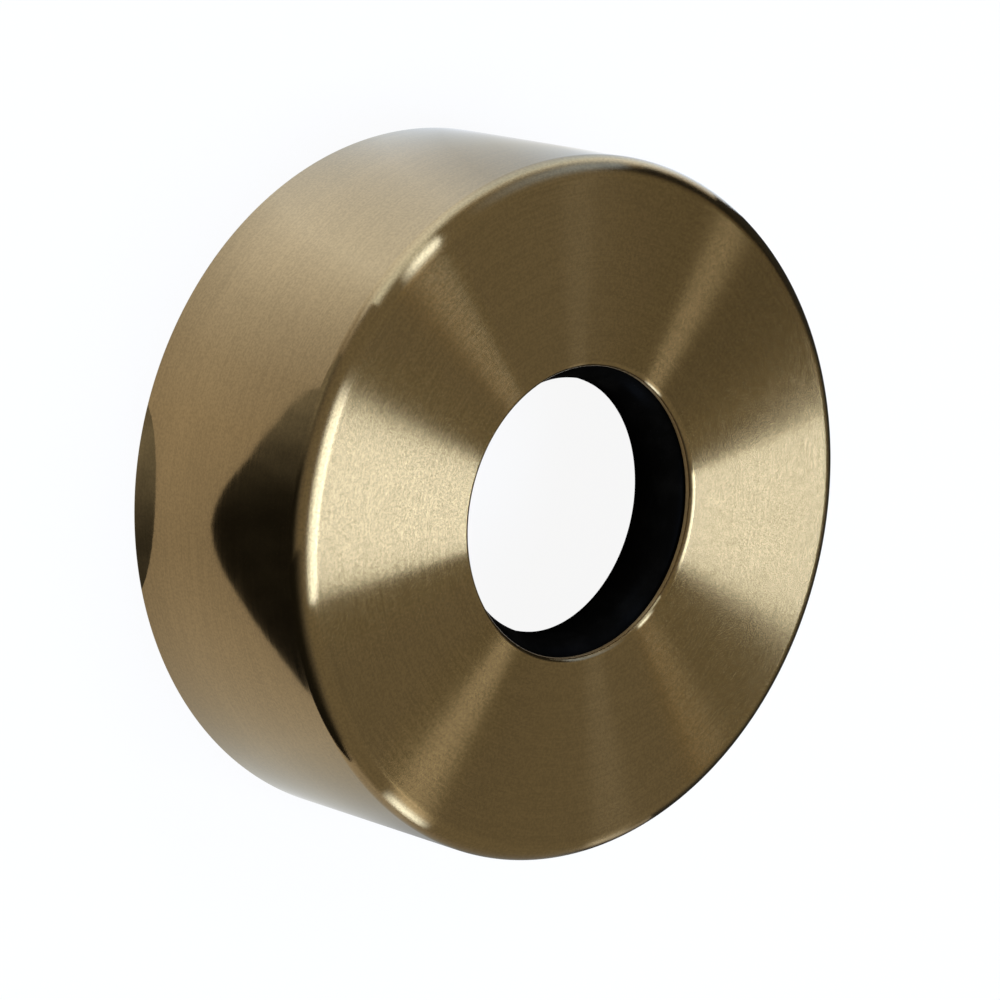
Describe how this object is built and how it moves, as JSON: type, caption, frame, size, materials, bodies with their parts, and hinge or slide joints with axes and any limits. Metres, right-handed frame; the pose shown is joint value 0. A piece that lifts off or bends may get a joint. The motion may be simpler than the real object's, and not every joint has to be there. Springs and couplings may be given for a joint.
{
  "type": "pipe rosette",
  "caption": "Deep round cover with a central pipe hole and a rubber grip ring, hiding the gap where a pipe enters a wall.",
  "frame": {"origin": "centre of the open back rim, in the plane where it meets the wall", "axes": "+Z along the pipe, from the wall towards the room, out of the face"},
  "size_m": [0.052, 0.052, 0.0195],
  "materials": {
    "cover_metal": "brushed antique brass, clear lacquer",
    "seal_rubber": "moulded, satin",
    "retainer_steel": "pressed, bare"
  },
  "bodies": {
    "root": {"cover": "cover_metal", "seal_ring": "seal_rubber", "seal_retainer": "retainer_steel"}
  },
  "joints": []
}
